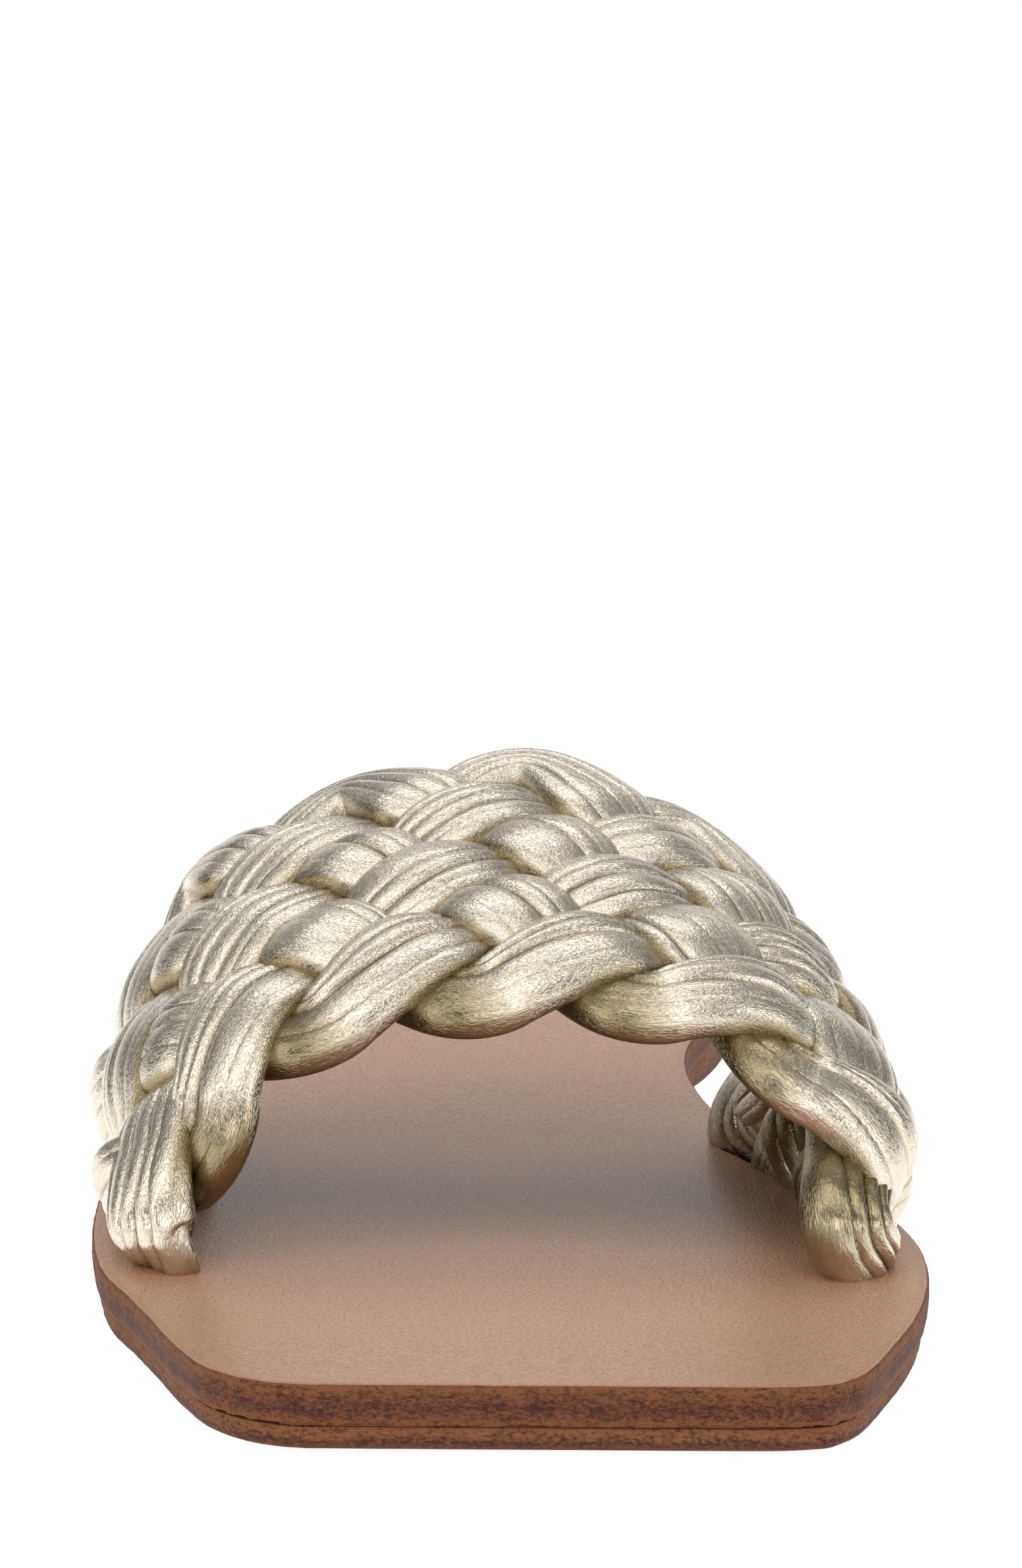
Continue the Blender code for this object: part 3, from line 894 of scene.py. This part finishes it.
class Nodes:
    """Short calls for building one material's node tree."""

    def __init__(self, name):
        self.material = bpy.data.materials.new(name)
        self.material.use_nodes = True
        self.tree = self.material.node_tree
        self.shader = self.tree.nodes["Principled BSDF"]

    def add(self, kind, **settings):
        node = self.tree.nodes.new(kind)
        for key, value in settings.items():
            setattr(node, key, value)
        return node

    def set(self, name, value):
        """Sets or joins one input of the shader."""
        feed(self.tree, self.shader.inputs[name], value)

    def fill(self, node, values):
        for name, value in values.items():
            feed(self.tree, node.inputs[name], value)

    def mapped(self, source, scale):
        node = self.add("ShaderNodeMapping")
        self.fill(node, {"Scale": scale, "Vector": source})
        return node.outputs["Vector"]

    def noise(self, vector, scale, detail=4.0, roughness=0.55, distortion=0.0):
        node = self.add("ShaderNodeTexNoise")
        self.fill(node, {
            "Scale": scale,
            "Detail": detail,
            "Roughness": roughness,
            "Distortion": distortion,
            "Vector": vector,
        })
        return node.outputs["Fac"]

    def ramp(self, source, stops):
        node = self.add("ShaderNodeValToRGB")
        elements = node.color_ramp.elements
        while len(elements) < len(stops):
            elements.new(0.5)
        for element, (place, colour) in zip(elements, stops):
            element.position = place
            element.color = tuple(colour) + (1.0,)
        self.fill(node, {"Fac": source})
        return node.outputs["Color"]

    def mix(self, share, first, second):
        node = self.add("ShaderNodeMix", data_type="RGBA", blend_type="MIX")
        self.fill(node, {0: share, 6: first, 7: second})
        return node.outputs[2]

    def maths(self, operation, first, second=0.0):
        node = self.add("ShaderNodeMath", operation=operation)
        self.fill(node, {0: first, 1: second})
        return node.outputs[0]

    def attribute(self, name):
        return self.add("ShaderNodeAttribute", attribute_name=name).outputs["Fac"]

    def range(self, source, low, high, to_low=0.0, to_high=1.0):
        node = self.add("ShaderNodeMapRange")
        self.fill(node, {
            "From Min": low,
            "From Max": high,
            "To Min": to_low,
            "To Max": to_high,
            "Value": source,
        })
        return node.outputs["Result"]

    def bump(self, source, distance, strength, under=None):
        node = self.add("ShaderNodeBump")
        self.fill(node, {"Distance": distance, "Strength": strength, "Height": source})
        if under is not None:
            self.fill(node, {"Normal": under})
        return node.outputs["Normal"]


def gold_leather():
    made = Nodes("metallic strap leather")
    uv = made.add("ShaderNodeUVMap", uv_map="along").outputs["UV"]
    # Crinkle: thin valleys where a stretched noise crosses its middle
    wander = made.noise(
        made.mapped(uv, CRINKLE_STRETCH), CRINKLE_SCALE, detail=2.0, roughness=0.5, distortion=0.4)
    valley = made.maths("ABSOLUTE", made.maths("SUBTRACT", wander, 0.5))
    plates = made.range(valley, 0.0, CRINKLE_HALF)
    grain = made.noise(made.mapped(uv, GRAIN_STRETCH), GRAIN_SCALE, detail=2.0, roughness=0.55)
    wrinkle = made.noise(made.mapped(uv, WRINKLE_STRETCH), WRINKLE_SCALE, detail=3.0, distortion=0.9)
    broad = made.noise(made.mapped(uv, BROAD_STRETCH), BROAD_SCALE, detail=2.0)
    # Painted shade in creases, along strand sides and where strands run under others
    fold_shade = made.range(made.attribute("fold_shade"), *FOLD_SHADE_RANGE)
    tuck_shade = made.range(made.attribute("tuck_shade"), *TUCK_SHADE_RANGE)
    painted_shade = made.maths("MAXIMUM", fold_shade, tuck_shade)
    # Painted shadow line in the deepest creases
    shadow_line = made.attribute("shadow_line")
    base = made.mix(broad, GOLD_LIGHT, GOLD_DULL)
    # Painted shade in the crinkle's valleys
    base = made.mix(made.range(plates, 0.0, 0.5, CRINKLE_SHADE_SHARE, 0.0), base, GOLD_CRINKLE_SHADE)
    base = made.mix(made.maths("MULTIPLY", painted_shade, SHADE_SHARE), base, GOLD_SHADE)
    base = made.mix(made.maths("MULTIPLY", shadow_line, SHADOW_LINE_SHARE), base, GOLD_SHADOW_LINE)
    rough = made.maths("ADD", plates, made.maths("MULTIPLY", grain, GRAIN_SHARE))
    normal = made.bump(wrinkle, WRINKLE_HEIGHT, WRINKLE_STRENGTH)
    normal = made.bump(rough, CRINKLE_HEIGHT, CRINKLE_STRENGTH, normal)
    made.set("Base Color", base)
    made.set("Metallic", GOLD_METALLIC)
    made.set("Roughness", made.range(grain, *NOISE_RANGE, *GOLD_ROUGHNESS))
    made.set("Normal", normal)
    return made.material


def insole_leather():
    made = Nodes("insole leather")
    place = made.add("ShaderNodeTexCoord").outputs["Object"]
    flat = made.mapped(place, TAN_STRETCH)
    pebble = made.noise(flat, PEBBLE_SCALE, detail=1.5, roughness=0.4, distortion=0.2)
    fine = made.noise(flat, FINE_SCALE, detail=1.0)
    patch = made.noise(flat, PATCH_SCALE, detail=3.0)
    dents = made.noise(flat, DENT_SCALE, detail=2.0)
    rim = made.range(made.attribute("rim"), 0.0, 1.0, 0.0, RIM_SHARE)
    base = made.mix(patch, TAN_DARK, TAN_LIGHT)
    base = made.mix(made.range(pebble, *PORE_RANGE, 0.0, PORE_SHARE), base, TAN_PORE)
    base = made.mix(rim, base, TAN_RIM)
    raised = made.range(pebble, *PEBBLE_RANGE)
    normal = made.bump(dents, DENT_HEIGHT, DENT_STRENGTH)
    normal = made.bump(raised, PEBBLE_HEIGHT, PEBBLE_STRENGTH, normal)
    normal = made.bump(fine, FINE_HEIGHT, FINE_STRENGTH, normal)
    made.set("Base Color", base)
    made.set("Roughness", made.range(fine, *NOISE_RANGE, *TAN_ROUGHNESS))
    made.set("Coat Weight", COAT)
    made.set("Coat Roughness", COAT_ROUGHNESS)
    made.set("Normal", normal)
    return made.material


def edge_leather(name, low, middle, high, dark, light, centre):
    """Stacked leather edge: streaks along the edge, shade by height in the layer."""
    made = Nodes(name)
    uv = made.add("ShaderNodeUVMap", uv_map="edge").outputs["UV"]
    streaks = made.noise(
        made.mapped(uv, STREAK_STRETCH), STREAK_SCALE, roughness=0.68, distortion=0.35)
    patches = made.noise(made.mapped(uv, BLOTCH_STRETCH), BLOTCH_SCALE, roughness=0.6)
    fibres = made.noise(made.mapped(uv, FIBRE_STRETCH), FIBRE_SCALE, detail=2.0)
    height = made.attribute("level")
    shade = made.ramp(height, ((0.0, low), (0.5, middle), (1.0, high)))
    belt = made.ramp(height, ((0.0, BELT_LOW), (centre, BELT_FULL), (1.0, BELT_HIGH)))
    blotch = made.maths("ADD", streaks, made.maths("MULTIPLY", patches, PATCH_SHARE))
    blotch = made.maths("ADD", blotch, made.maths("MULTIPLY", belt, BELT_SHARE))
    base = made.mix(made.range(blotch, *DARK_RANGE), shade, dark)
    base = made.mix(made.range(fibres, *FIBRE_RANGE, 0.0, FIBRE_SHARE), base, light)
    normal = made.bump(streaks, STREAK_HEIGHT, STREAK_STRENGTH)
    normal = made.bump(fibres, FIBRE_HEIGHT, FIBRE_STRENGTH, normal)
    made.set("Base Color", base)
    made.set("Roughness", made.range(streaks, *NOISE_RANGE, *EDGE_ROUGHNESS))
    made.set("Specular IOR Level", EDGE_SPECULAR)
    made.set("Normal", normal)
    return made.material


# Sole pieces

def between(start, end, count):
    share = (np.arange(count) + 1.0)[:, None] / (count + 1.0)
    return start * (1.0 - share) + end * share


def inset_loop(inset):
    """The outline moved inwards: big-toe side, heel, little-toe side, front."""
    inner, outer = outline_sides()
    heel = between(inner[-1], outer[-1], HEEL_POINTS)
    front = between(outer[0], inner[0], FRONT_POINTS)
    loop = np.concatenate([inner, heel, outer[::-1], front])
    along = unit(np.roll(loop, -1, axis=0) - np.roll(loop, 1, axis=0))
    square = np.stack([-along[:, 1], along[:, 0]], axis=1)
    return loop + square * inset


def layered_noise(points, layers):
    total = 0.0
    for scale, seed, strength in layers:
        values = [noise.noise(Vector(tuple(point * scale + seed))) for point in points]
        total = total + np.array(values) * strength
    return total


def uneven(points, frayed):
    """A slightly uneven edge, and a fibrous lower rim where it is frayed."""
    loop = points[0]
    outward = unit((loop - loop.mean(axis=0))[:, :2])
    moved = points.copy()
    moved[:, :, :2] += outward * layered_noise(loop, EDGE_WAVE)[:, None]
    if frayed:
        drop = np.maximum(layered_noise(loop, RIM_FRAY), 0.0)
        moved[0, :, 2] -= np.minimum(drop * FRAY_DROP, FRAY_LIMIT)
    return moved


def sole_layer(name, low, high, wall, looks, frayed=False):
    """A closed layer of the sole between two heights, with an edge and a top look."""
    loops = []
    for inset, share, above, mark in wall:
        flat = inset_loop(inset)
        behind = flat[:, 1]
        height = low(behind) + (high(behind) - low(behind)) * share + above
        loops.append(np.column_stack([flat, height]))
    points = uneven(np.stack(loops), frayed)
    rings, count = points.shape[:2]
    faces = ring_quads(rings, count)
    slots = []
    for inset, share, above, mark in wall[:-1]:
        slots += [int(mark >= TOP_MARK)] * count
    far_side = 2 * EDGE_STATIONS + HEEL_POINTS + 1
    front = [0, 1] + [far_side - 1, far_side] + list(range(far_side + 1, count))
    heel = list(range(EDGE_STATIONS - 1, far_side - EDGE_STATIONS + 2))
    caps = [
        [station, station + 1, far_side - station - 1, far_side - station]
        for station in range(1, EDGE_STATIONS - 1)
    ]
    top_slot = int(looks[0] != looks[1])
    for base, slot in ((0, 0), ((rings - 1) * count, top_slot)):
        for cap in caps + [front, heel]:
            faces.append([base + value for value in cap])
            slots.append(slot)
    mesh = bpy.data.meshes.new(name)
    mesh.from_pydata(((points.reshape(-1, 3) + SHIFT) * MM).tolist(), [], faces)
    for look in looks:
        mesh.materials.append(look)
    mesh.polygons.foreach_set("material_index", slots)
    steps = np.diff(points[0], axis=0, append=points[0][:1])
    length = running_total(np.linalg.norm(steps, axis=1))
    where, ring, station = corner_places(mesh, rings, count)
    set_uv(mesh, "edge", length[station] * MM, points.reshape(-1, 3)[where, 2] * MM)
    insets = np.array([row[0] for row in wall])
    marks = np.array([row[3] for row in wall])
    rim = np.maximum(1.0 - np.abs(insets - RIM_INSET) / RIM_REACH, 0.0)
    mark_points(mesh, "level", np.repeat(marks, count))
    mark_points(mesh, "rim", np.repeat(rim, count))
    return link_object(name, mesh)


def slot_cutter(name, around_value):
    """A thin curved block along one end of the strap."""
    corners = (
        (-SLOT_CUT, -CUTTER_BELOW),
        (SLOT_CUT, -CUTTER_BELOW),
        (SLOT_CUT, CUTTER_ABOVE),
        (-SLOT_CUT, CUTTER_ABOVE),
    )
    around = np.array([around_value])
    rings = []
    for step in range(CUTTER_STEPS + 1):
        share = SLOT_END_SHARE + (1.0 - 2.0 * SLOT_END_SHARE) * step / CUTTER_STEPS
        depth = np.array([share])
        middle = strap_point(around, depth)[0]
        square = strap_normal(around, depth)[0]
        square[2] = 0.0
        square /= np.linalg.norm(square)
        top = float(footbed_top(middle[1]))
        ring = []
        for side, height in corners:
            point = middle + square * side
            ring.append((point[0], point[1], top + height))
        rings.append(ring)
    made = grid_object(name, np.array(rings), None)
    face_out(made)
    return made


def cut_slots(made, cutters):
    for cutter in cutters:
        modifier = made.modifiers.new("slot", "BOOLEAN")
        modifier.operation = "DIFFERENCE"
        modifier.solver = "EXACT"
        modifier.object = cutter
    bpy.context.view_layer.update()
    evaluated = made.evaluated_get(bpy.context.evaluated_depsgraph_get())
    shape = bpy.data.meshes.new_from_object(evaluated)
    made.modifiers.clear()
    made.data = shape


def finish_piece(made, node):
    face_out(made)
    made.data.set_sharp_from_angle(angle=math.radians(SHARP_ANGLE))
    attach(made, "root")
    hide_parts(node)


def build_sole():
    tan = insole_leather()
    upper_edge = edge_leather("upper edge leather", *UPPER_EDGE)
    lower_edge = edge_leather("lower edge leather", *LOWER_EDGE)

    def midsole_low(behind):
        return outsole_top(behind) + GAP

    def midsole_top(behind):
        return midsole_low(behind) + MIDSOLE_THICK

    outsole = sole_layer(
        "outsole_leather", underside, outsole_top, OUTSOLE_WALL, (lower_edge, lower_edge))
    midsole = sole_layer(
        "midsole_leather", midsole_low, midsole_top, MIDSOLE_WALL, (upper_edge, upper_edge),
        frayed=True)
    insole = sole_layer(
        "insole_leather", midsole_top, footbed_top, INSOLE_WALL, (upper_edge, tan))
    cutters = [slot_cutter("slot_outer", 0.0), slot_cutter("slot_inner", 1.0)]
    for made in (midsole, insole):
        cut_slots(made, cutters)
    for cutter in cutters:
        bpy.data.objects.remove(cutter)
    finish_piece(outsole, "outsole")
    finish_piece(midsole, "midsole")
    finish_piece(insole, "insole")


# Camera, floor and light

def add_camera():
    data = bpy.data.cameras.new("camera")
    data.sensor_fit = "HORIZONTAL"
    data.sensor_width = SENSOR_WIDTH
    data.lens = FOCAL_PIXELS * SENSOR_WIDTH / IMAGE_WIDTH
    data.shift_y = (PRINCIPAL_DOWN - IMAGE_HEIGHT * 0.5) / IMAGE_WIDTH
    data.clip_start = CLIP_NEAR
    data.clip_end = CLIP_FAR
    camera = link_object("camera", data)
    place = np.array([0.0, CAMERA_BEHIND, CAMERA_HEIGHT]) + SHIFT
    camera.location = Vector(place * MM)
    camera.rotation_euler = (math.radians(90.0 - CAMERA_PITCH), 0.0, 0.0)
    bpy.context.scene.camera = camera


def add_lamp(name, place, target, size, power, colour):
    data = bpy.data.lights.new(name, "AREA")
    data.shape = "RECTANGLE"
    data.size = size[0]
    data.size_y = size[1]
    data.energy = power
    data.color = colour
    lamp = link_object(name, data)
    lamp.location = Vector(place)
    direction = Vector(target) - Vector(place)
    lamp.rotation_euler = direction.to_track_quat("-Z", "Y").to_euler()


def add_floor():
    mesh = bpy.data.meshes.new("floor")
    reach = FLOOR_REACH
    corners = [
        (-reach, -reach, 0.0),
        (reach, -reach, 0.0),
        (reach, reach, 0.0),
        (-reach, reach, 0.0),
    ]
    mesh.from_pydata(corners, [], [(0, 1, 2, 3)])
    floor = link_object("floor", mesh)
    paper = Nodes("pale floor")
    paper.set("Base Color", FLOOR_COLOUR)
    paper.set("Emission Color", FLOOR_GLOW_COLOUR)
    paper.set("Emission Strength", FLOOR_GLOW)
    paper.set("Roughness", FLOOR_ROUGHNESS)
    mesh.materials.append(paper.material)


def add_sky():
    world = bpy.data.worlds.new("studio")
    world.use_nodes = True
    tree = world.node_tree
    back = tree.nodes["Background"]
    direction = tree.nodes.new("ShaderNodeTexCoord")
    split = tree.nodes.new("ShaderNodeSeparateXYZ")
    sky = tree.nodes.new("ShaderNodeValToRGB")
    elements = sky.color_ramp.elements
    for stop, (height, level) in enumerate(SKY):
        if stop > 1:
            elements.new(height)
        elements[stop].position = height
        elements[stop].color = [level * tint for tint in SKY_TINT] + [1.0]
    feed(tree, split.inputs["Vector"], direction.outputs["Generated"])
    feed(tree, sky.inputs["Fac"], split.outputs["Z"])
    feed(tree, back.inputs["Color"], sky.outputs["Color"])
    back.inputs["Strength"].default_value = SKY_STRENGTH
    bpy.context.scene.world = world


add_camera()
add_floor()
add_sky()
for lamp in LAMPS:
    add_lamp(*lamp)
bpy.context.scene.view_settings.view_transform = "Standard"
strap_look = gold_leather()
for index in range(STRANDS):
    strand(index, strap_look)
build_sole()
